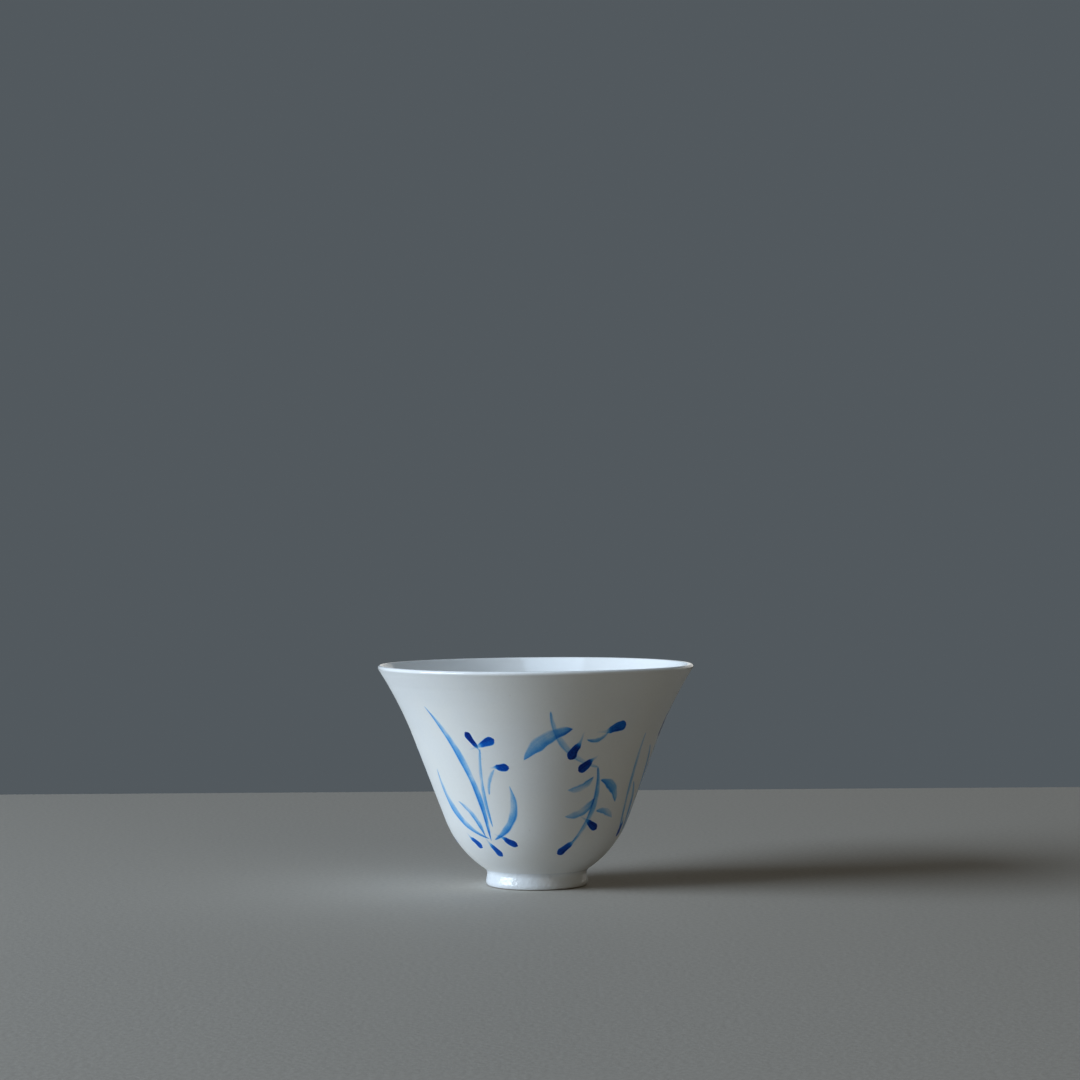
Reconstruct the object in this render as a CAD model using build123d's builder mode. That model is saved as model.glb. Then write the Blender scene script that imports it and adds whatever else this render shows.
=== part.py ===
from build123d import *
from math import asin, cos, degrees, radians, sin
import os

# A small bell-shaped porcelain teacup, in millimetres. It stands on its foot ring with the
# origin at the centre of the foot, +Z up, and its painted front faces -Y.
#
# The potter's pieces are a thrown bowl and a foot ring luted under it. Four coats of glaze cover
# them: a satin one outside, a glossy one inside and over the lip, one round the foot and one in
# the hollow under the base. The painter's cobalt strokes lie on the satin coat as thin films.

# ---------------------------------------------------------------- driving dimensions
height = 50.3
rim_radius = 36.0
lip_radius = 0.55            # the lip is a full round, 1.1 thick
rim_angle = 32.5             # the wall's lean from the vertical just under the lip
cone_angle = 20.9            # the same along the straight middle of the wall
flare_radius = 90.0          # outside, from the cone up to the lip
belly_radius = 23.7          # outside, from the foot up to the cone
belly_top = 15.1             # where the belly turns into the cone
inner_flare_radius = 110.0   # flatter than outside, so the wall thickens downwards
inner_belly_radius = 17.0
floor_height = 5.2           # of the flat bottom inside

foot_height = 3.3
foot_corner_radius = 1.0     # of the bare clay, at the ring's outer bottom edge
foot_corner_centre = (10.45, 1.0)
foot_lean = 10.0             # the ring's side leans in by this towards the bowl
foot_inner_radius = 9.0
foot_inner_corner = 0.5
foot_glaze_end = -40.0       # angle on the corner where the glaze was wiped off

glaze = 0.25                 # thickness of the coats on the bowl
foot_glaze_thickness = 0.2
base_glaze_thickness = 0.2
pigment = 0.08               # thickness of the brush strokes on the satin coat

parts_folder = "parts"

# ---------------------------------------------------------------- the wall's outline
# Half of the section, as (radius, height). Every coat is the same outline at another depth.


def along(angle):
    """The unit vector square to a wall that leans out by angle, pointing away from the axis."""
    return Vector(cos(radians(angle)), -sin(radians(angle)))


def up(angle):
    """The unit vector up a wall that leans out by angle."""
    return Vector(sin(radians(angle)), cos(radians(angle)))


lip_centre = Vector(rim_radius - lip_radius, height - lip_radius)
flare_centre = lip_centre + along(rim_angle) * (lip_radius + flare_radius)
cone_top = flare_centre - along(cone_angle) * flare_radius
cone_length = (cone_top.Y - belly_top) / cos(radians(cone_angle))
belly_centre = cone_top - up(cone_angle) * cone_length - along(cone_angle) * belly_radius

inner_flare_centre = lip_centre + along(rim_angle) * (inner_flare_radius - lip_radius)
inner_cone_top = inner_flare_centre - along(cone_angle) * inner_flare_radius
inner_belly_height = floor_height + inner_belly_radius
inner_belly_drop = inner_cone_top.Y - along(cone_angle).Y * inner_belly_radius - inner_belly_height
inner_belly_centre = (
    inner_cone_top
    - up(cone_angle) * (inner_belly_drop / cos(radians(cone_angle)))
    - along(cone_angle) * inner_belly_radius
)


def outside_line(depth):
    """Draws the outside surface from the foot to the lip, moved into the wall by depth."""
    radius = belly_radius - depth
    start = degrees(asin((foot_height - belly_centre.Y) / radius))
    belly = CenterArc(belly_centre, radius, start, -cone_angle - start)
    flare = CenterArc(flare_centre, flare_radius + depth, 180 - cone_angle, cone_angle - rim_angle)
    Line(belly @ 1, flare @ 0)
    return belly @ 0, flare @ 1


def lip_line(depth):
    """Draws the lip's round from the outside to the inside, moved into the wall by depth."""
    lip = CenterArc(lip_centre, lip_radius - depth, -rim_angle, 180)
    return lip @ 0, lip @ 1


def inside_line(depth):
    """Draws the inside surface from the lip to the axis, moved into the wall by depth."""
    flare = CenterArc(
        inner_flare_centre, inner_flare_radius - depth, 180 - rim_angle, rim_angle - cone_angle
    )
    belly = CenterArc(
        inner_belly_centre, inner_belly_radius + depth, -cone_angle, cone_angle - 90
    )
    Line(flare @ 1, belly @ 0)
    floor = Line(belly @ 1, (0, floor_height - depth))
    return flare @ 0, floor @ 1


def foot_side_line(thickness, end_angle):
    """Draws the foot ring's side from the bowl down round its corner to end_angle."""
    radius = foot_corner_radius + thickness
    corner = CenterArc(foot_corner_centre, radius, foot_lean, end_angle - foot_lean)
    rise = foot_height - (corner @ 0).Y
    top = corner @ 0 + Vector(-sin(radians(foot_lean)), cos(radians(foot_lean))) * (
        rise / cos(radians(foot_lean))
    )
    Line(top, corner @ 0)
    return top, corner @ 1


# The turned pieces start from a plane in the gap between two painted sprays, so that no stroke
# crosses the seam of a turned surface.
seam_azimuth = 110.0


def outward(azimuth):
    """The level unit vector that leaves the cup at azimuth: 0 is the front, 90 its right."""
    return Vector(sin(radians(azimuth)), -cos(radians(azimuth)), 0)


def rightward(azimuth):
    """The level unit vector to the right for someone who faces the cup at azimuth."""
    return Vector(cos(radians(azimuth)), sin(radians(azimuth)), 0)


section_plane = Plane(
    origin=(0, 0, 0), x_dir=outward(seam_azimuth), z_dir=-rightward(seam_azimuth)
)

# ---------------------------------------------------------------- clay
with BuildPart() as bowl_body:
    with BuildSketch(section_plane):
        with BuildLine():
            foot_end, _ = outside_line(glaze)
            lip_line(glaze)
            _, floor_centre = inside_line(glaze)
            Line(floor_centre, (0, foot_height))
            Line((0, foot_height), foot_end)
        make_face()
    revolve(axis=Axis.Z)

with BuildPart() as foot_ring:
    with BuildSketch(section_plane):
        with BuildLine():
            ring_top, ring_foot = foot_side_line(0, -90)
            inner_corner_centre = (foot_inner_radius + foot_inner_corner, foot_inner_corner)
            inner_corner = CenterArc(inner_corner_centre, foot_inner_corner, -90, -90)
            Line(ring_foot, inner_corner @ 0)
            Line(inner_corner @ 1, (foot_inner_radius, foot_height))
            Line((foot_inner_radius, foot_height), ring_top)
        make_face()
    revolve(axis=Axis.Z)

# ---------------------------------------------------------------- glaze
with BuildPart() as inside_glaze:
    with BuildSketch(section_plane):
        with BuildLine():
            outer_lip, _ = lip_line(0)
            _, floor_top = inside_line(0)
            inner_lip, _ = lip_line(glaze)
            _, floor_bottom = inside_line(glaze)
            Line(floor_top, floor_bottom)
            Line(inner_lip, outer_lip)
        make_face()
    revolve(axis=Axis.Z)

with BuildPart() as foot_glaze:
    with BuildSketch(section_plane):
        with BuildLine():
            outer_top, outer_end = foot_side_line(foot_glaze_thickness, foot_glaze_end)
            inner_top, inner_end = foot_side_line(0, foot_glaze_end)
            Line(outer_top, inner_top)
            Line(outer_end, inner_end)
        make_face()
    revolve(axis=Axis.Z)

with BuildPart() as base_glaze:
    recess_top = foot_height - base_glaze_thickness
    recess_radius = foot_inner_radius - base_glaze_thickness
    with BuildSketch(section_plane):
        with BuildLine():
            Polyline(
                (0, foot_height),
                (foot_inner_radius, foot_height),
                (foot_inner_radius, foot_inner_corner),
                (recess_radius, foot_inner_corner),
                (recess_radius, recess_top),
                (0, recess_top),
                close=True,
            )
        make_face()
    revolve(axis=Axis.Z)


def outside_coat(outer_depth, inner_depth):
    """A turned coat on the bowl's outside, between two depths below its surface."""
    with BuildPart() as coat:
        with BuildSketch(section_plane):
            with BuildLine():
                outer_foot, outer_rim = outside_line(outer_depth)
                inner_foot, inner_rim = outside_line(inner_depth)
                Line(outer_foot, inner_foot)
                Line(outer_rim, inner_rim)
            make_face()
        revolve(axis=Axis.Z)
    return coat.part


with BuildPart() as outside_glaze:
    add(outside_coat(0, glaze))


# ---------------------------------------------------------------- brush strokes
# Each spray is drawn flat, as (right, up) seen by someone who faces it, with up measured from
# the foot, and then pressed straight onto the satin coat.


def blade(base, tip, bow, width):
    """A leaf or stem between two points, bowed to the left of its way up by bow."""
    start, end = Vector(*base), Vector(*tip)
    middle = (start + end) * 0.5
    across = (end - start).rotate(Axis.Z, 90).normalized()
    left = middle + across * (bow + width / 2)
    right = middle + across * (bow - width / 2)
    with BuildLine() as outline:
        ThreePointArc(start, left, end)
        ThreePointArc(end, right, start)
    make_face(outline.edges())


def dab(thin_end, fat_end, thin_radius, fat_radius):
    """One press of the loaded brush: a drop that swells from its thin end to its fat end."""
    with BuildLine() as outline:
        CenterArc(thin_end, thin_radius, 0, 360)
        CenterArc(fat_end, fat_radius, 0, 360)
    make_hull(outline.edges())


# (base, tip, bow, width) for stems and leaves, (thin end, fat end, thin and fat radius) for buds.
orchid = {
    "stems": [
        ((3.0, 15.2), (4.6, 33.0), 0.9, 0.8),
        ((4.1, 22.6), (6.8, 28.4), 0.5, 0.7),
    ],
    "leaves": [
        ((1.6, 12.0), (-8.2, 42.0), -3.4, 1.7),
        ((1.2, 12.4), (-10.4, 27.6), 3.2, 1.6),
        ((2.6, 12.2), (9.2, 24.6), -2.4, 1.5),
        ((0.4, 12.8), (-5.2, 20.6), -1.2, 1.2),
    ],
    "buds": [
        ((5.3, 33.9), (7.5, 34.8), 0.6, 0.95),
        ((3.7, 33.8), (2.4, 35.9), 0.5, 0.8),
        ((7.6, 28.9), (9.2, 28.9), 0.6, 0.85),
        ((-4.0, 11.9), (-2.4, 10.6), 0.5, 0.75),
        ((1.2, 10.6), (2.2, 9.0), 0.5, 0.8),
        ((5.2, 12.4), (6.6, 11.4), 0.55, 0.8),
    ],
}
vine = {
    "stems": [
        ((-7.6, 41.4), (5.2, 28.6), -2.6, 1.2),
        ((5.2, 28.6), (1.4, 11.6), 2.2, 1.2),
        ((1.6, 34.9), (6.6, 36.6), -1.0, 0.8),
    ],
    "leaves": [
        ((-2.2, 37.4), (-11.6, 30.6), -1.5, 3.1),
        ((4.4, 26.4), (-1.4, 23.6), 0.9, 1.6),
        ((5.4, 21.6), (-1.2, 17.6), 1.2, 1.9),
        ((6.4, 25.6), (11.4, 20.2), 1.3, 2.1),
        ((6.3, 18.5), (11.2, 16.6), 0.7, 1.5),
    ],
    "buds": [
        ((7.0, 36.8), (9.9, 37.7), 0.75, 1.15),
        ((-0.4, 33.5), (-1.5, 31.6), 0.7, 1.1),
        ((3.0, 29.9), (1.4, 28.5), 0.7, 1.05),
        ((4.8, 16.0), (6.4, 14.8), 0.6, 0.85),
        ((0.9, 11.0), (-0.7, 9.5), 0.65, 0.9),
    ],
}
reeds = {
    "stems": [
        ((-2.8, 13.0), (-8.6, 35.6), 0.9, 1.0),
        ((0.6, 11.6), (2.0, 37.4), -0.8, 0.9),
        ((3.6, 13.4), (8.8, 29.6), -1.0, 0.8),
    ],
    "leaves": [
        ((-0.4, 12.4), (-5.4, 24.4), -1.3, 1.4),
        ((2.2, 12.0), (6.6, 22.2), 1.5, 1.4),
        ((1.4, 21.6), (-3.6, 32.6), -1.1, 1.2),
    ],
    "buds": [
        ((-2.6, 14.4), (-2.3, 12.4), 0.6, 0.75),
        ((2.1, 38.4), (1.9, 34.8), 0.6, 0.85),
        ((8.9, 30.8), (8.2, 28.0), 0.55, 0.8),
        ((5.6, 12.0), (6.7, 10.7), 0.5, 0.75),
    ],
}
# Name of the spray on the cup, its drawing and the azimuth that it faces.
sprays = [
    ("front_orchid", orchid, -36.0),
    ("front_vine", vine, 20.0),
    ("right_reeds", reeds, 76.0),
    ("back_orchid", orchid, 144.0),
    ("back_vine", vine, 200.0),
    ("left_reeds", reeds, 256.0),
]
stroke_shapes = {"stems": blade, "leaves": blade, "buds": dab}
easel_distance = 40.0        # the flat drawing stands this far from the axis
stroke_reach = 30.0          # and is pressed this far in, past the wall but not to the far side


def pressed_strokes(kind, drawing, azimuth, above):
    """One kind of stroke of a spray on the satin coat, less the strokes painted above it."""
    easel = Plane(
        origin=outward(azimuth) * easel_distance,
        x_dir=rightward(azimuth),
        z_dir=outward(azimuth),
    )
    with BuildPart() as strokes:
        with BuildSketch(easel):
            for stroke in drawing[kind]:
                stroke_shapes[kind](*stroke)
        extrude(amount=-stroke_reach)
        add(pigment_coat, mode=Mode.INTERSECT)
        for painted in above:
            add(painted, mode=Mode.SUBTRACT)
    return strokes.part


pigment_coat = outside_coat(-pigment, 0)
brushwork = {}
for spray, drawing, azimuth in sprays:
    buds = pressed_strokes("buds", drawing, azimuth, [])
    leaves = pressed_strokes("leaves", drawing, azimuth, [buds])
    stems = pressed_strokes("stems", drawing, azimuth, [buds, leaves])
    brushwork[f"{spray}_buds"] = buds
    brushwork[f"{spray}_leaves"] = leaves
    brushwork[f"{spray}_stems"] = stems

# ---------------------------------------------------------------- hand-over
pieces = {
    "bowl_body": bowl_body.part,
    "foot_ring": foot_ring.part,
    "outside_glaze": outside_glaze.part,
    "inside_glaze": inside_glaze.part,
    "foot_glaze": foot_glaze.part,
    "base_glaze": base_glaze.part,
    **brushwork,
}
os.makedirs(parts_folder, exist_ok=True)
for name, piece in pieces.items():
    piece.label = name
    export_step(piece, f"{parts_folder}/{name}.step")
    print(f"{name}: {len(piece.solids())} solids, {piece.volume:.1f} mm3")
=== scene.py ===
"""The looks of a small bell-shaped porcelain teacup, built around its CAD frame.

The coats of glaze and the cobalt brush strokes are new meshes that stand for their CAD nodes.
Sizes are in millimetres until a mesh is made. Azimuth 0 is the painted front, -Y, and 90 is +X.
"""

import math

import bpy
import numpy as np
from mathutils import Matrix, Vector


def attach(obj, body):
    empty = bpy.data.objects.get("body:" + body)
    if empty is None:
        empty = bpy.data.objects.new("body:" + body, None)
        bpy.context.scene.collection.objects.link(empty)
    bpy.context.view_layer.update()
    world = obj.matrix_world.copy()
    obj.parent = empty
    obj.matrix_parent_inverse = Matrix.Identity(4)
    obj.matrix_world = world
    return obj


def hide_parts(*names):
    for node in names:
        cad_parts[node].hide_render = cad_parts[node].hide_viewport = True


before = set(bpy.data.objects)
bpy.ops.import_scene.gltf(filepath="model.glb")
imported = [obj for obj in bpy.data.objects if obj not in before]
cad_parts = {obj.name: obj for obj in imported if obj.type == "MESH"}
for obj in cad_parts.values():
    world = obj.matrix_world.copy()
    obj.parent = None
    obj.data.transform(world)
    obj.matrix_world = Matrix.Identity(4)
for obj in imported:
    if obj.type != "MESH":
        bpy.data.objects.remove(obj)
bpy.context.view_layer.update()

MM = 0.001

# ------------------------------------------------------------ the CAD part's driving dimensions
HEIGHT = 50.3
RIM_RADIUS = 36.0
LIP_RADIUS = 0.55            # the lip is a full round
RIM_ANGLE = 32.5             # the wall's lean from the vertical just under the lip
CONE_ANGLE = 20.9            # the same along the straight middle of the wall
FLARE_RADIUS = 90.0          # outside, from the cone up to the lip
BELLY_RADIUS = 23.7          # outside, from the foot up to the cone
BELLY_TOP = 15.1             # where the belly turns into the cone
INNER_FLARE_RADIUS = 110.0
INNER_BELLY_RADIUS = 17.0
FLOOR_HEIGHT = 5.2           # of the flat bottom inside
FOOT_HEIGHT = 3.3
FOOT_CORNER_RADIUS = 1.0     # of the bare clay, at the ring's outer bottom edge
FOOT_CORNER = np.array([10.45, 1.0])
FOOT_LEAN = 10.0             # the ring's side leans in by this towards the bowl
FOOT_INNER_RADIUS = 9.0
FOOT_INNER_CORNER = 0.5
FOOT_GLAZE_END = -40.0       # angle on the corner where the glaze was wiped off
GLAZE = 0.25                 # thickness of the coats on the bowl
FOOT_GLAZE = 0.2
BASE_GLAZE = 0.2

# ------------------------------------------------------------ how finely the coats are meshed
BOWL_SEGMENTS = 320          # round the cup
FOOT_SEGMENTS = 256
BASE_SEGMENTS = 192
PROFILE_STEP = 0.0125        # of the outline that other shapes are measured from
OUTSIDE_STEP = 0.42          # up the outside that shows
LIP_STEP = 0.045
INSIDE_STEP = 0.6
FOOT_STEP = 0.09
BASE_STEP = 0.4
HIDDEN_OUTSIDE_STEP = 1.6    # the same on the sides of the coats that lie on the clay
HIDDEN_LIP_STEP = 0.1
HIDDEN_INSIDE_STEP = 2.0

# ------------------------------------------------------------ what the wheel and the kiln did
OVAL = 0.07                  # how far the rim is out of round, twice round the cup
TRIANGLE = 0.035             # and three times round it
RIDGES = 0.010               # height of the throwing ridges
FINE_RIDGES = 0.006
DROOP = 0.05                 # how far the rim dips to one side
RIM_WAVE = 0.04              # and three times round it

rng = np.random.default_rng(7)


# ------------------------------------------------------------ outline of the turned shape
def along(angle):
    """The unit vector square to a wall that leans out by angle, away from the axis."""
    return np.array([math.cos(math.radians(angle)), -math.sin(math.radians(angle))])


def up(angle):
    """The unit vector up a wall that leans out by angle."""
    return np.array([math.sin(math.radians(angle)), math.cos(math.radians(angle))])


LIP_CENTRE = np.array([RIM_RADIUS - LIP_RADIUS, HEIGHT - LIP_RADIUS])
FLARE_CENTRE = LIP_CENTRE + along(RIM_ANGLE) * (LIP_RADIUS + FLARE_RADIUS)
CONE_TOP = FLARE_CENTRE - along(CONE_ANGLE) * FLARE_RADIUS
CONE_LENGTH = (CONE_TOP[1] - BELLY_TOP) / math.cos(math.radians(CONE_ANGLE))
BELLY_CENTRE = CONE_TOP - up(CONE_ANGLE) * CONE_LENGTH - along(CONE_ANGLE) * BELLY_RADIUS
INNER_FLARE_CENTRE = LIP_CENTRE + along(RIM_ANGLE) * (INNER_FLARE_RADIUS - LIP_RADIUS)
INNER_CONE_TOP = INNER_FLARE_CENTRE - along(CONE_ANGLE) * INNER_FLARE_RADIUS
INNER_DROP = INNER_CONE_TOP - along(CONE_ANGLE) * INNER_BELLY_RADIUS
INNER_BELLY_CENTRE = INNER_DROP - up(CONE_ANGLE) * (
    (INNER_DROP[1] - FLOOR_HEIGHT - INNER_BELLY_RADIUS) / math.cos(math.radians(CONE_ANGLE))
)


def arc(centre, radius, start, end, count=400):
    """Points on a circle from one angle to another, in degrees."""
    turn = np.radians(np.linspace(start, end, count))
    return np.column_stack([centre[0] + radius * np.cos(turn), centre[1] + radius * np.sin(turn)])


def evenly(points, step):
    """The same line with its points spaced evenly, about a step apart."""
    run = np.concatenate([[0], np.cumsum(np.linalg.norm(np.diff(points, axis=0), axis=1))])
    marks = np.linspace(0, run[-1], max(2, int(round(run[-1] / step)) + 1))
    return np.column_stack([np.interp(marks, run, points[:, 0]), np.interp(marks, run, points[:, 1])])


def outside_line(depth):
    """The outside from the foot to the lip, moved into the wall by depth."""
    radius = BELLY_RADIUS - depth
    start = math.degrees(math.asin((FOOT_HEIGHT - BELLY_CENTRE[1]) / radius))
    belly = arc(BELLY_CENTRE, radius, start, -CONE_ANGLE)
    flare = arc(FLARE_CENTRE, FLARE_RADIUS + depth, 180 - CONE_ANGLE, 180 - RIM_ANGLE)
    return np.vstack([belly, flare])


def lip_line(depth):
    """The lip's round from the outside to the inside."""
    return arc(LIP_CENTRE, LIP_RADIUS - depth, -RIM_ANGLE, 180 - RIM_ANGLE, 120)


def inside_line(depth):
    """The inside from the lip to the axis."""
    flare = arc(
        INNER_FLARE_CENTRE, INNER_FLARE_RADIUS - depth, 180 - RIM_ANGLE, 180 - CONE_ANGLE
    )
    belly = arc(INNER_BELLY_CENTRE, INNER_BELLY_RADIUS + depth, -CONE_ANGLE, -90)
    return np.vstack([flare, belly, [[0, FLOOR_HEIGHT - depth]]])


PROFILE = evenly(outside_line(0), PROFILE_STEP)


def radius_at(height):
    """The outside's radius at a height."""
    return np.interp(height, PROFILE[:, 1], PROFILE[:, 0])


def settled(radius, azimuth, height):
    """Where a point of the turned shape lies after the kiln: slightly out of round and level.

    The foot stays put, and the rim has moved the most. The phases of the waves are free choices.
    """
    free = np.clip((height - FOOT_HEIGHT) / (HEIGHT - FOOT_HEIGHT), 0, 1) ** 1.5
    oval = OVAL * np.sin(2 * azimuth + 1.0) + TRIANGLE * np.sin(3 * azimuth + 0.3)
    coarse = RIDGES * np.sin(height * 1.9 + azimuth)
    ridges = coarse + FINE_RIDGES * np.sin(height * 4.3 - 2 * azimuth)
    droop = DROOP * np.sin(azimuth + 2.2) + RIM_WAVE * np.sin(3 * azimuth)
    return radius + free * (oval + ridges * (radius > FOOT_INNER_RADIUS)), height + free * droop


def placed(radius, azimuth, height):
    """Metres in the row frame for a point of the turned shape."""
    radius, height = settled(radius, azimuth, height)
    return np.stack([radius * np.sin(azimuth), -radius * np.cos(azimuth), height], -1) * MM


# ------------------------------------------------------------ meshes
def new_mesh(name, vertices, faces, sharp_over=35.0):
    """A smooth-shaded mesh object with its sharp corners kept."""
    mesh = bpy.data.meshes.new(name)
    mesh.from_pydata([tuple(v) for v in vertices], [], faces)
    mesh.validate()
    mesh.polygons.foreach_set("use_smooth", [True] * len(mesh.polygons))
    mesh.set_sharp_from_angle(angle=math.radians(sharp_over))
    mesh.update()
    piece = bpy.data.objects.new(name, mesh)
    bpy.context.scene.collection.objects.link(piece)
    return piece


def lathe(name, outline, segments=BOWL_SEGMENTS):
    """A closed turned shell. Its section's outline is closed, or runs from axis to axis.

    The outline runs anticlockwise in (radius, height), so that the faces look outwards.
    """
    turn = np.arange(segments) * 2 * math.pi / segments
    rings = []
    vertices = []
    for radius, height in outline:
        first = len(vertices)
        if radius < 1e-6:
            vertices.append(placed(0.0, 0.0, height))
            rings.append([first] * segments)
        else:
            vertices.extend(placed(np.full(segments, radius), turn, np.full(segments, height)))
            rings.append(list(range(first, first + segments)))
    axis_to_axis = outline[0][0] < 1e-6 and outline[-1][0] < 1e-6
    pairs = list(zip(rings, rings[1:]))
    if not axis_to_axis:
        pairs.append((rings[-1], rings[0]))
    faces = []
    for low, high in pairs:
        for i in range(segments):
            j = (i + 1) % segments
            corners = [low[i], low[j], high[j], high[i]]
            faces.append([c for n, c in enumerate(corners) if c not in corners[:n]])
    return new_mesh(name, vertices, faces)


# ------------------------------------------------------------ node helpers
class Shader:
    """A material's node tree, with short calls to add and join nodes."""

    def __init__(self, name):
        self.material = bpy.data.materials.new(name)
        self.material.use_nodes = True
        self.tree = self.material.node_tree
        self.surface = self.tree.nodes["Principled BSDF"]
        self.place = self.add("ShaderNodeTexCoord").outputs["Object"]

    def add(self, kind, **settings):
        """A new node of a kind, with its settings made."""
        made = self.tree.nodes.new(kind)
        for key, value in settings.items():
            setattr(made, key, value)
        return made

    def feed(self, socket, value):
        """Joins an output to a socket, or sets the socket to a constant."""
        if isinstance(value, bpy.types.NodeSocket):
            self.tree.links.new(value, socket)
        else:
            socket.default_value = value

    def noise(self, scale, detail, stretch=(1, 1, 1)):
        """Noise from 0 to 1, with scale in features per metre."""
        place = self.add("ShaderNodeMapping")
        place.inputs["Scale"].default_value = stretch
        self.feed(place.inputs["Vector"], self.place)
        made = self.add("ShaderNodeTexNoise")
        self.feed(made.inputs["Vector"], place.outputs["Vector"])
        self.feed(made.inputs["Scale"], scale)
        self.feed(made.inputs["Detail"], detail)
        return made.outputs["Fac"]

    def math(self, operation, *values):
        """The result of a math node."""
        made = self.add("ShaderNodeMath", operation=operation)
        for socket, value in zip(made.inputs, values):
            self.feed(socket, value)
        return made.outputs[0]

    def between(self, value, low, high, new_low=0.0, new_high=1.0):
        """The value moved from one range to another and held inside it."""
        made = self.add("ShaderNodeMapRange", interpolation_type="SMOOTHSTEP")
        for key, number in (
            ("Value", value),
            ("From Min", low),
            ("From Max", high),
            ("To Min", new_low),
            ("To Max", new_high),
        ):
            self.feed(made.inputs[key], number)
        return made.outputs["Result"]

    def mix(self, factor, first, second):
        """A colour between two others. The node's sockets 6, 7 and 2 are its colour A, B and result."""
        made = self.add("ShaderNodeMix", data_type="RGBA", blend_type="MIX")
        self.feed(made.inputs["Factor"], factor)
        self.feed(made.inputs[6], first)
        self.feed(made.inputs[7], second)
        return made.outputs[2]

    def specks(self, scale, strength):
        """A mask of small round specks, scale of them to the metre, up to strength."""
        cells = self.add("ShaderNodeTexVoronoi")
        self.feed(cells.inputs["Vector"], self.place)
        self.feed(cells.inputs["Scale"], scale)
        return self.between(cells.outputs["Distance"], 0.02, 0.045, strength, 0.0)

    def bump(self, height, depth, normal=None):
        """A bump of a height from 0 to 1, depth millimetres deep."""
        made = self.add("ShaderNodeBump")
        self.feed(made.inputs["Height"], height)
        self.feed(made.inputs["Distance"], depth * MM)
        if normal is not None:
            self.feed(made.inputs["Normal"], normal)
        return made.outputs["Normal"]

    def finish(self, **sockets):
        """The material, with the surface's sockets fed. An underscore stands for a space."""
        for key, value in sockets.items():
            self.feed(self.surface.inputs[key.replace("_", " ")], value)
        return self.material


# ------------------------------------------------------------ materials
SATIN_WHITE = (0.80, 0.805, 0.785, 1)
SATIN_COOL = (0.775, 0.79, 0.79, 1)
GLOSS_WHITE = (0.88, 0.895, 0.90, 1)
FOOT_WHITE = (0.76, 0.80, 0.84, 1)
SATIN_GRAIN = (0.55, 0.55, 0.52, 1)
SATIN_SPECK = (0.42, 0.38, 0.30, 1)
GLOSS_SPECK = (0.5, 0.46, 0.38, 1)
BISCUIT_PALE = (0.78, 0.74, 0.66, 1)
BISCUIT_WARM = (0.70, 0.64, 0.55, 1)
BISCUIT_GRIT = (0.45, 0.38, 0.30, 1)
FLOOR_DARK = (0.49, 0.47, 0.435, 1)
FLOOR_LIGHT = (0.54, 0.52, 0.48, 1)
SATIN_SHINE = 0.32
COBALT_ABSORBS = ((1.0, 1.0), (0.43, 0.86), (0.02, 1.7))   # factor and power, for red, green, blue


def satin_glaze(name, painted=False, shine=SATIN_SHINE):
    """Satin white, faintly mottled, with the cobalt of the pigment attribute where painted."""
    s = Shader(name)
    cloud = s.noise(55.0, 4.0)
    white = s.mix(s.between(cloud, 0.35, 0.65), SATIN_WHITE, SATIN_COOL)
    grain = s.noise(1500.0, 2.0)
    white = s.mix(s.between(grain, 0.3, 0.8, 0.0, 0.05), white, SATIN_GRAIN)
    white = s.mix(s.specks(160.0, 0.18), white, SATIN_SPECK)
    if painted:
        pigment = s.add("ShaderNodeAttribute", attribute_name="pigment").outputs["Fac"]
        mottle = s.between(s.noise(2600.0, 2.0), 0.25, 0.75, 0.86, 1.14)
        pigment = s.math("MULTIPLY", pigment, mottle)
        parts = s.add("ShaderNodeSeparateColor")
        s.feed(parts.inputs[0], white)
        through = s.add("ShaderNodeCombineColor")
        for channel, (factor, power) in enumerate(COBALT_ABSORBS):
            absorbed = s.math("MULTIPLY", s.math("POWER", pigment, power), -factor)
            kept = s.math("EXPONENT", absorbed)
            s.feed(through.inputs[channel], s.math("MULTIPLY", parts.outputs[channel], kept))
        white = through.outputs[0]
    peel = s.bump(s.noise(650.0, 2.0), 0.012)
    rings = s.bump(s.noise(6.0, 3.0, stretch=(6, 6, 90)), 0.03, peel)
    return s.finish(
        Base_Color=white,
        Roughness=s.between(s.noise(130.0, 3.0), 0.3, 0.7, 0.37, 0.45),
        Normal=rings,
        Specular_IOR_Level=shine,
    )


def gloss_glaze(name, white, peel_size, peel_depth, roughness):
    """Glossy clear glaze over white, with an orange peel of two sizes.

    The peel's size and depth are in millimetres. Roughness is its lowest and highest value.
    """
    s = Shader(name)
    cloud = s.noise(70.0, 4.0)
    shade = tuple(c * 0.96 for c in white[:3]) + (1,)
    colour = s.mix(s.between(cloud, 0.35, 0.7), white, shade)
    colour = s.mix(s.specks(210.0, 0.25), colour, GLOSS_SPECK)
    fine = s.bump(s.noise(2500.0 / peel_size, 2.0), peel_depth * 0.3)
    peel = s.bump(s.noise(1000.0 / peel_size, 2.0), peel_depth, fine)
    rings = s.bump(s.noise(5.0, 2.0, stretch=(6, 6, 80)), 0.04, peel)
    low, high = roughness
    return s.finish(
        Base_Color=colour,
        Roughness=s.between(s.noise(180.0, 3.0), 0.3, 0.7, low, high),
        Normal=rings,
    )


def biscuit(name):
    """Bare fired porcelain: matt, fine-grained and faintly warm."""
    s = Shader(name)
    cloud = s.noise(240.0, 5.0)
    colour = s.mix(s.between(cloud, 0.3, 0.7), BISCUIT_PALE, BISCUIT_WARM)
    grit = s.noise(4200.0, 2.0)
    colour = s.mix(s.between(grit, 0.62, 0.8, 0.0, 0.35), colour, BISCUIT_GRIT)
    return s.finish(
        Base_Color=colour,
        Roughness=s.between(grit, 0.3, 0.7, 0.78, 0.92),
        Normal=s.bump(grit, 0.03),
    )


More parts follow.
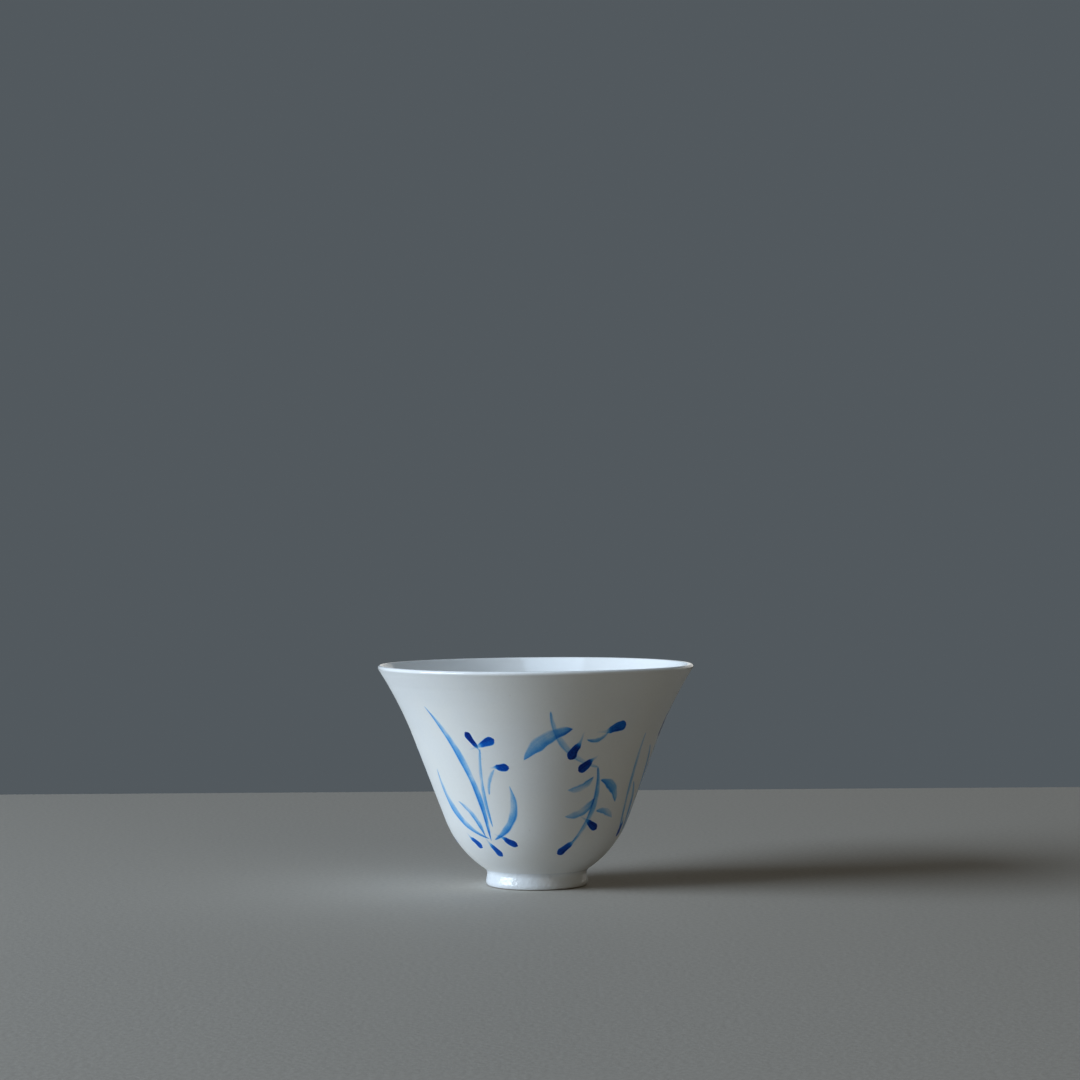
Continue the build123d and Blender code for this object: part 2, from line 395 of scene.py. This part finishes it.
def table_cover(name):
    """The plain pale floor."""
    s = Shader(name)
    weave = s.noise(900.0, 3.0)
    colour = s.mix(s.between(weave, 0.3, 0.7), FLOOR_DARK, FLOOR_LIGHT)
    return s.finish(
        Base_Color=colour, Roughness=0.75, Normal=s.bump(weave, 0.05), Specular_IOR_Level=0.25
    )


# ------------------------------------------------------------ coats of glaze
def fit_out(piece, material, slot, *nodes):
    """Gives a piece its material, hangs it on the root body and hides the CAD nodes that it stands for.
    """
    piece.data.materials.append(material)
    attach(piece, "root")
    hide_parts(*nodes)
    return piece


def satin_coat():
    """The coat on the bowl's outside, from the foot up to the lip."""
    outer = evenly(outside_line(0), OUTSIDE_STEP)
    inner = evenly(outside_line(GLAZE), HIDDEN_OUTSIDE_STEP)
    piece = lathe("satin_coat", np.vstack([outer, inner[::-1]]))
    return fit_out(piece, satin_glaze("satin glaze"), "satin_glaze", "outside_glaze")


def gloss_coat():
    """The coat over the lip and inside the bowl."""
    outer = np.vstack([
        evenly(lip_line(0), LIP_STEP),
        evenly(inside_line(0), INSIDE_STEP)[1:],
    ])
    inner = np.vstack([
        evenly(lip_line(GLAZE), HIDDEN_LIP_STEP),
        evenly(inside_line(GLAZE), HIDDEN_INSIDE_STEP)[1:],
    ])
    piece = lathe("gloss_coat", np.vstack([inner[::-1], outer]))
    material = gloss_glaze("gloss glaze", GLOSS_WHITE, 2.2, 0.012, (0.06, 0.12))
    return fit_out(piece, material, "gloss_glaze", "inside_glaze")


def foot_coat():
    """The foot's glaze, with the small fillet where it pooled against the bowl."""
    fillet_start, fillet_bend, fillet_end = 2.75, 3.42, 3.85    # heights
    fillet_bulge = 0.02
    radius = FOOT_CORNER_RADIUS + FOOT_GLAZE
    corner = arc(FOOT_CORNER, radius, FOOT_GLAZE_END, FOOT_LEAN, 60)
    lean = up(-FOOT_LEAN)
    side_top = corner[-1] + lean * ((fillet_start - corner[-1][1]) / lean[1])
    meet = np.array([radius_at(fillet_end), fillet_end])
    bend = np.array([side_top[0] + fillet_bulge, fillet_bend])
    t = np.linspace(0, 1, 24)[:, None]
    fillet = (1 - t) ** 2 * side_top + 2 * t * (1 - t) * bend + t**2 * meet
    outer = np.vstack([corner, fillet])
    # Two points close the fillet on its hidden side, inside the bowl's coat and the ring's top.
    in_bowl = [radius_at(3.6) - GLAZE, 3.55]
    in_ring = [FOOT_CORNER[0] + 0.55, FOOT_HEIGHT]
    inner = arc(FOOT_CORNER, FOOT_CORNER_RADIUS, FOOT_LEAN, FOOT_GLAZE_END, 30)
    outline = np.vstack([evenly(outer, FOOT_STEP), [in_bowl, in_ring], inner])
    piece = lathe("foot_coat", outline, FOOT_SEGMENTS)
    material = gloss_glaze("foot glaze", FOOT_WHITE, 1.0, 0.13, (0.12, 0.22))
    return fit_out(piece, material, "foot_gloss", "foot_glaze")


def base_coat():
    """The glaze in the hollow under the base, pooled in its corner."""
    pool_radius = 0.7
    top = FOOT_HEIGHT - BASE_GLAZE
    side = FOOT_INNER_RADIUS - BASE_GLAZE
    pooled = arc(np.array([side - pool_radius, top - pool_radius]), pool_radius, 0, 90, 24)
    outline = np.vstack([
        evenly(np.vstack([[[0, top]], pooled[::-1]]), BASE_STEP),
        [[side, FOOT_INNER_CORNER], [FOOT_INNER_RADIUS, FOOT_INNER_CORNER]],
        [[FOOT_INNER_RADIUS, FOOT_HEIGHT], [0, FOOT_HEIGHT]],
    ])
    piece = lathe("base_coat", outline, BASE_SEGMENTS)
    material = gloss_glaze("base glaze", GLOSS_WHITE, 1.6, 0.03, (0.07, 0.14))
    return fit_out(piece, material, "gloss_glaze", "base_glaze")


# ------------------------------------------------------------ brushwork
# The sprays are the CAD part's, drawn flat as (right, up): (base, tip, bow, width) for stems and
# leaves, (thin end, fat end, thin and fat radius) for buds.
ORCHID = {
    "stems": [
        ((3.0, 15.2), (4.6, 33.0), 0.9, 0.8),
        ((4.1, 22.6), (6.8, 28.4), 0.5, 0.7),
    ],
    "leaves": [
        ((1.6, 12.0), (-8.2, 42.0), -3.4, 1.7),
        ((1.2, 12.4), (-10.4, 27.6), 3.2, 1.6),
        ((2.6, 12.2), (9.2, 24.6), -2.4, 1.5),
        ((0.4, 12.8), (-5.2, 20.6), -1.2, 1.2),
    ],
    "buds": [
        ((5.3, 33.9), (7.5, 34.8), 0.6, 0.95),
        ((3.7, 33.8), (2.4, 35.9), 0.5, 0.8),
        ((7.6, 28.9), (9.2, 28.9), 0.6, 0.85),
        ((-4.0, 11.9), (-2.4, 10.6), 0.5, 0.75),
        ((1.2, 10.6), (2.2, 9.0), 0.5, 0.8),
        ((5.2, 12.4), (6.6, 11.4), 0.55, 0.8),
    ],
}
VINE = {
    "stems": [
        ((-7.6, 41.4), (5.2, 28.6), -2.6, 1.2),
        ((5.2, 28.6), (1.4, 11.6), 2.2, 1.2),
        ((1.6, 34.9), (6.6, 36.6), -1.0, 0.8),
    ],
    "leaves": [
        ((-2.2, 37.4), (-11.6, 30.6), -1.5, 3.1),
        ((4.4, 26.4), (-1.4, 23.6), 0.9, 1.6),
        ((5.4, 21.6), (-1.2, 17.6), 1.2, 1.9),
        ((6.4, 25.6), (11.4, 20.2), 1.3, 2.1),
        ((6.3, 18.5), (11.2, 16.6), 0.7, 1.5),
    ],
    "buds": [
        ((7.0, 36.8), (9.9, 37.7), 0.75, 1.15),
        ((-0.4, 33.5), (-1.5, 31.6), 0.7, 1.1),
        ((3.0, 29.9), (1.4, 28.5), 0.7, 1.05),
        ((4.8, 16.0), (6.4, 14.8), 0.6, 0.85),
        ((0.9, 11.0), (-0.7, 9.5), 0.65, 0.9),
    ],
}
REEDS = {
    "stems": [
        ((-2.8, 13.0), (-8.6, 35.6), 0.9, 1.0),
        ((0.6, 11.6), (2.0, 37.4), -0.8, 0.9),
        ((3.6, 13.4), (8.8, 29.6), -1.0, 0.8),
    ],
    "leaves": [
        ((-0.4, 12.4), (-5.4, 24.4), -1.3, 1.4),
        ((2.2, 12.0), (6.6, 22.2), 1.5, 1.4),
        ((1.4, 21.6), (-3.6, 32.6), -1.1, 1.2),
    ],
    "buds": [
        ((-2.6, 14.4), (-2.3, 12.4), 0.6, 0.75),
        ((2.1, 38.4), (1.9, 34.8), 0.6, 0.85),
        ((8.9, 30.8), (8.2, 28.0), 0.55, 0.8),
        ((5.6, 12.0), (6.7, 10.7), 0.5, 0.75),
    ],
}
SPRAYS = [
    ("front_orchid", ORCHID, -36.0),
    ("front_vine", VINE, 20.0),
    ("right_reeds", REEDS, 76.0),
    ("back_orchid", ORCHID, 144.0),
    ("back_vine", VINE, 200.0),
    ("left_reeds", REEDS, 256.0),
]
PAINT_SLOTS = {"stems": "cobalt_pale", "leaves": "cobalt_wash", "buds": "cobalt_dark"}
PAINT_SHINE = {"stems": SATIN_SHINE, "leaves": SATIN_SHINE, "buds": 0.14}
FILM_HEIGHTS = {"stems": 0.010, "leaves": 0.016, "buds": 0.022}
FILM_STEPS = {"stems": 0.15, "leaves": 0.15, "buds": 0.09}   # spacing of a film's vertices
FILM_BORDER = -0.03          # a film's border dips under the satin coat's surface
FILM_ROOT = 0.09             # depth of its hidden side in the coat
STEM_STRENGTH = (0.9, 1.7)   # amount of pigment, from the weakest stroke to the strongest
LEAF_STRENGTH = (1.0, 2.2)
BUD_STRENGTH = (5.0, 9.5)
STEM_BODY = 0.45             # how late a stroke swells: below 1 it is nearly even in width
LEAF_BODY = 0.8
WASH_BLEED = 0.30            # how far thin pigment fades out past a stroke's edge
DAB_BLEED = 0.18             # and how far thick pigment does
WASH_STREAKS, WASH_POOL = 0.28, 0.85    # how strongly a stroke is streaked, and pools to one side
DAB_STREAKS, DAB_POOL = 0.22, 0.18
LEAST_TONE = 0.2             # inside its faded edge, a stroke is nowhere paler than this share


class Stroke:
    """One stroke of the brush: a centre line with a half-width and a strength along it.

    The frequencies of its streaks are free choices. Their phases are drawn at random.
    """

    def __init__(self, line, half_width, strength, bleed, streaks, pool):
        self.line = line
        self.run = np.concatenate(
            [[0], np.cumsum(np.linalg.norm(np.diff(line, axis=0), axis=1))]
        )
        tangent = np.gradient(line, axis=0)
        self.tangent = tangent / np.linalg.norm(tangent, axis=1)[:, None]
        self.normal = np.column_stack([-self.tangent[:, 1], self.tangent[:, 0]])
        self.half_width = half_width
        self.strength = strength
        self.bleed = bleed
        self.streaks = streaks
        self.pool = pool
        self.phases = rng.uniform(0, 2 * math.pi, 6)
        self.pool_side = rng.choice([-1.0, 1.0])

    def pigment(self, points):
        """How much pigment the stroke leaves at each point of the drawing."""
        gap = points[:, None, :] - self.line[None, :, :]
        nearest = np.argmin((gap**2).sum(-1), axis=1)
        rows = np.arange(len(points))
        gap = gap[rows, nearest]
        ahead = (gap * self.tangent[nearest]).sum(-1)
        across = (gap * self.normal[nearest]).sum(-1)
        where = self.run[nearest] + ahead
        past_end = np.maximum(0, np.maximum(-where, where - self.run[-1]))
        half = np.interp(where, self.run, self.half_width)
        strength = np.interp(where, self.run, self.strength)
        distance = np.hypot(across, past_end)
        edge = np.clip((half + self.bleed * 0.4 - distance) / self.bleed, 0, 1)
        edge = edge * edge * (3 - 2 * edge)
        share = np.clip(across / np.maximum(half, 0.05), -1.2, 1.2)
        a, b, c, d, e, f = self.phases
        dry = (
            np.sin(7 * share + a + 0.25 * where)
            + np.sin(13 * share + b - 0.15 * where)
            + np.sin(1.1 * where + c + 2 * share)
            + np.sin(2.3 * where + d)
        )
        side = share * self.pool_side
        pool = self.pool * (0.55 * side + 0.8 * np.exp(-(((side - 0.7) / 0.25) ** 2)))
        watery = 0.18 * np.sin(0.55 * where + e) + 0.10 * np.sin(1.7 * where + f + share)
        tone = 1 + self.streaks * dry / 4 + pool + watery * (self.pool + 0.3)
        return strength * edge * np.maximum(LEAST_TONE, tone)

    def film_grid(self, step):
        """Rows of points, about a step apart, that cover the stroke and what it bleeds."""
        bleed = self.bleed
        reach = self.half_width + bleed
        rows = max(6, int(round((self.run[-1] + 2 * bleed) / step)))
        columns = max(6, int(round(2 * reach.max() / step)))
        marks = np.linspace(-bleed, self.run[-1] + bleed, rows)
        held = np.clip(marks, 0, self.run[-1])
        centre = np.column_stack([np.interp(held, self.run, self.line[:, k]) for k in (0, 1)])
        tangent = np.column_stack([np.interp(held, self.run, self.tangent[:, k]) for k in (0, 1)])
        centre = centre + tangent * (marks - held)[:, None]
        normal = np.column_stack([-tangent[:, 1], tangent[:, 0]])
        reach = np.interp(held, self.run, reach)
        from_end = np.minimum(marks - marks[0], marks[-1] - marks)
        reach = reach * np.sqrt(np.clip(0.25 + from_end / 0.5, 0, 1))
        share = np.linspace(-1, 1, columns)
        grid = centre[:, None, :] + normal[:, None, :] * (reach[:, None] * share[None, :])[..., None]
        return grid


def blade_stroke(base, tip, bow, width, strength, body):
    """A stem or a leaf: the brush lands at the base, swells and lifts off at the tip."""
    base, tip = np.array(base), np.array(tip)
    way = tip - base
    across = np.array([-way[1], way[0]]) / np.linalg.norm(way)
    bend = (base + tip) / 2 + across * 2 * bow
    count = int(np.linalg.norm(way) / 0.25) + 8
    t = np.linspace(0, 1, count)
    line = (
        (1 - t)[:, None] ** 2 * base + (2 * t * (1 - t))[:, None] * bend + t[:, None] ** 2 * tip
    )
    swell = (4 * t * (1 - t)) ** body
    tremble = 1 + 0.10 * np.sin(9 * t + rng.uniform(0, 6)) + 0.06 * np.sin(23 * t + rng.uniform(0, 6))
    fade = 0.95 + 1.3 * np.exp(-t / 0.10) - 0.45 * t + 0.5 * np.exp(-(1 - t) / 0.07)
    half = width / 2 * swell * tremble
    return Stroke(line, half, strength * fade, WASH_BLEED, WASH_STREAKS, WASH_POOL)


def dab_stroke(thin_end, fat_end, thin_radius, fat_radius, strength):
    """A press of the loaded brush, with the fine tail that its tip drew before it."""
    thin_end, fat_end = np.array(thin_end), np.array(fat_end)
    way = fat_end - thin_end
    length = np.linalg.norm(way)
    ahead = way / length
    across = np.array([-ahead[1], ahead[0]])
    tail = 1.1 * length * rng.uniform(0.6, 1.2)
    curl = rng.uniform(-0.5, 0.5)
    u = np.arange(-tail - thin_radius, length + fat_radius, 0.1)
    middle = np.clip(u / length, 0, 1)
    bow = curl * np.clip(-u / tail, 0, 1) ** 2 * tail * 0.5 + curl * 1.2 * middle * (1 - middle)
    line = thin_end + ahead * u[:, None] + across * bow[:, None]
    body = thin_radius + (fat_radius - thin_radius) * np.clip(u / length, 0, 1)
    nose = np.sqrt(np.clip(1 - (np.clip(u - length, 0, None) / fat_radius) ** 2, 0, 1))
    heel = np.clip(1 + u / (tail + thin_radius), 0, 1)
    half = np.where(u < 0, thin_radius * (0.25 + 0.75 * heel**3), body * nose)
    load = 1 / (1 + np.exp(-(u + 0.15) / 0.22))
    half = half * (1 + 0.04 * np.sin(2.6 * u + rng.uniform(0, 6)))
    return Stroke(line, half, strength * (0.12 * heel + load), DAB_BLEED, DAB_STREAKS, DAB_POOL)


def strokes_of(drawing):
    """Every stroke of a drawing, by kind."""
    made = {"stems": [], "leaves": [], "buds": []}
    for stem in drawing["stems"]:
        made["stems"].append(blade_stroke(*stem, rng.uniform(*STEM_STRENGTH), STEM_BODY))
    for leaf in drawing["leaves"]:
        made["leaves"].append(blade_stroke(*leaf, rng.uniform(*LEAF_STRENGTH), LEAF_BODY))
    for bud in drawing["buds"]:
        made["buds"].append(dab_stroke(*bud, rng.uniform(*BUD_STRENGTH)))
    return made


def on_surface(points, facing):
    """Where points of a drawing fall on the cup, in metres, and the surface's normals there."""
    height = points[..., 1]
    azimuth = math.radians(facing) + np.arcsin(points[..., 0] / radius_at(height))

    def surface(a, h):
        return placed(radius_at(h), a, h)

    nudge_a, nudge_h = 0.003, 0.15
    round_way = surface(azimuth + nudge_a, height) - surface(azimuth - nudge_a, height)
    up_way = surface(azimuth, height + nudge_h) - surface(azimuth, height - nudge_h)
    normal = np.cross(round_way, up_way)
    normal /= np.linalg.norm(normal, axis=-1)[..., None]
    return surface(azimuth, height), normal


def paint_film(name, strokes, everything, facing, proud, step):
    """The films of some strokes, as closed slivers that rise out of the satin coat.

    Each vertex holds the pigment of every stroke of the spray there, so that crossing strokes add up.
    """
    vertices, normals, pigment, faces = [], [], [], []
    for stroke in strokes:
        grid = stroke.film_grid(step)
        rows, columns = grid.shape[:2]
        spot, normal = on_surface(grid, facing)
        rim = np.zeros((rows, columns), bool)
        rim[0], rim[-1], rim[:, 0], rim[:, -1] = True, True, True, True
        lift = np.where(rim, FILM_BORDER, proud)[..., None] * MM
        top = (spot + normal * lift).reshape(-1, 3)
        bottom = (spot - normal * FILM_ROOT * MM).reshape(-1, 3)
        flat = grid.reshape(-1, 2)
        amount = sum(other.pigment(flat) for other in everything)
        first = len(vertices)
        under = first + rows * columns
        vertices.extend(top)
        vertices.extend(bottom)
        normals.extend(normal.reshape(-1, 3))
        normals.extend(-normal.reshape(-1, 3))
        pigment.extend(amount)
        pigment.extend(amount)
        for i in range(rows - 1):
            for j in range(columns - 1):
                a = i * columns + j
                quad = (a, a + 1, a + columns + 1, a + columns)
                faces.append([first + k for k in reversed(quad)])
                faces.append([under + k for k in quad])
        border = (
            [j for j in range(columns)]
            + [i * columns + columns - 1 for i in range(1, rows)]
            + [(rows - 1) * columns + j for j in range(columns - 2, -1, -1)]
            + [i * columns for i in range(rows - 2, 0, -1)]
        )
        for a, b in zip(border, border[1:] + border[:1]):
            faces.append([first + a, first + b, under + b, under + a])
    piece = new_mesh(name, vertices, faces, 180.0)
    layer = piece.data.attributes.new("pigment", "FLOAT", "POINT")
    layer.data.foreach_set("value", np.array(pigment, np.float32))
    piece.data.normals_split_custom_set_from_vertices([tuple(n) for n in normals])
    return piece


def brushwork():
    """Every spray's strokes, one film for each kind."""
    paints = {
        kind: satin_glaze(f"cobalt {kind}", True, shine) for kind, shine in PAINT_SHINE.items()
    }
    for spray, drawing, facing in SPRAYS:
        strokes = strokes_of(drawing)
        everything = [stroke for kind in strokes.values() for stroke in kind]
        for kind, members in strokes.items():
            name = f"{spray}_{kind}"
            proud, step = FILM_HEIGHTS[kind], FILM_STEPS[kind]
            film = paint_film(f"{name}_film", members, everything, facing, proud, step)
            fit_out(film, paints[kind], PAINT_SLOTS[kind], name)


# ------------------------------------------------------------ bare clay
def bare_clay():
    """Gives the CAD's own bowl and foot ring their material."""
    for node in ("bowl_body", "foot_ring"):
        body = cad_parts[node]
        body.data.materials.clear()
        body.data.materials.append(biscuit(f"biscuit {node}"))


# ------------------------------------------------------------ stage
FLOOR_LOW = np.array([-560.0, -900.0, -20.0])
FLOOR_HIGH = np.array([560.0, 226.0, 0.0])
FLOOR_EDGE = 2.5

# name, place, target, size, power in watts, colour
LIGHTS = [
    ("window", (-1270, -365, 430), (0, 0, 25), (840, 840), 23.2, (0.765, 0.88, 1.0)),
    ("fill", (520, -1240, 440), (0, 0, 30), (900, 700), 1.05, (1.0, 0.82, 0.54)),
    ("rear", (340, 730, 150), (0, 0, 35), (1000, 280), 0.60, (0.97, 0.96, 0.92)),
    ("overhead", (-60, -120, 460), (0, 0, 40), (260, 260), 0.62, (0.62, 0.80, 1.0)),
]
AMBIENT = (0.028, 0.025, 0.019, 1)
BACKDROP = (0.085, 0.100, 0.112, 1)

LENS = 87.6
CAMERA_PLACE = (1.2, -600.0, 78.6)
CAMERA_ROLL = 0.4            # degrees


def floor():
    """A plain slab to stand on, which ends a little behind the cup."""
    low, high = FLOOR_LOW * MM, FLOOR_HIGH * MM
    corners = [
        (x, y, z) for z in (low[2], high[2]) for y in (low[1], high[1]) for x in (low[0], high[0])
    ]
    faces = [(0, 2, 3, 1), (4, 5, 7, 6), (0, 1, 5, 4), (1, 3, 7, 5), (3, 2, 6, 7), (2, 0, 4, 6)]
    slab = new_mesh("floor", corners, faces, 30.0)
    bevel = slab.modifiers.new("edge", "BEVEL")
    bevel.width = FLOOR_EDGE * MM
    bevel.segments = 4
    slab.data.materials.append(table_cover("table cover"))


def aimed(thing, place, target):
    """Turns a light at a place towards a target, both in millimetres."""
    thing.location = Vector(place) * MM
    thing.rotation_mode = "QUATERNION"
    thing.rotation_quaternion = (Vector(target) - Vector(place)).to_track_quat("-Z", "Y")


def area_light(name, place, target, size, power, colour):
    """A soft rectangular light."""
    light = bpy.data.lights.new(name, "AREA")
    light.shape = "RECTANGLE"
    light.size, light.size_y = size[0] * MM, size[1] * MM
    light.energy = power
    light.color = colour
    lamp = bpy.data.objects.new(name, light)
    bpy.context.scene.collection.objects.link(lamp)
    aimed(lamp, place, target)
    return lamp


def lights():
    """The lights. The overhead one falls on the inside and the lip only."""
    lamps = {light[0]: area_light(*light) for light in LIGHTS}
    flagged = bpy.data.collections.new("lit by the overhead")
    flagged.objects.link(bpy.data.objects["gloss_coat"])
    lamps["overhead"].light_linking.receiver_collection = flagged


def surroundings():
    """The world: a dim ambient light, and a brighter plain backdrop where the camera sees it."""
    world = bpy.data.worlds.new("studio")
    world.use_nodes = True
    tree = world.node_tree
    ambient = tree.nodes["Background"]
    ambient.inputs["Color"].default_value = AMBIENT
    backdrop = tree.nodes.new("ShaderNodeBackground")
    backdrop.inputs["Color"].default_value = BACKDROP
    seen = tree.nodes.new("ShaderNodeLightPath").outputs["Is Camera Ray"]
    either = tree.nodes.new("ShaderNodeMixShader")
    tree.links.new(seen, either.inputs[0])
    tree.links.new(ambient.outputs[0], either.inputs[1])
    tree.links.new(backdrop.outputs[0], either.inputs[2])
    tree.links.new(either.outputs[0], tree.nodes["World Output"].inputs["Surface"])
    bpy.context.scene.world = world
    bpy.context.scene.view_settings.view_transform = "Standard"


def camera():
    """A level camera in front of the cup, rolled a little."""
    lens = bpy.data.cameras.new("camera")
    lens.lens = LENS
    lens.sensor_width = 36.0
    lens.clip_start, lens.clip_end = 0.01, 10.0
    eye = bpy.data.objects.new("camera", lens)
    bpy.context.scene.collection.objects.link(eye)
    eye.location = [length * MM for length in CAMERA_PLACE]
    eye.rotation_euler = (math.radians(90), math.radians(CAMERA_ROLL), 0)
    bpy.context.scene.camera = eye


satin_coat()
gloss_coat()
foot_coat()
base_coat()
brushwork()
bare_clay()
floor()
lights()
surroundings()
camera()
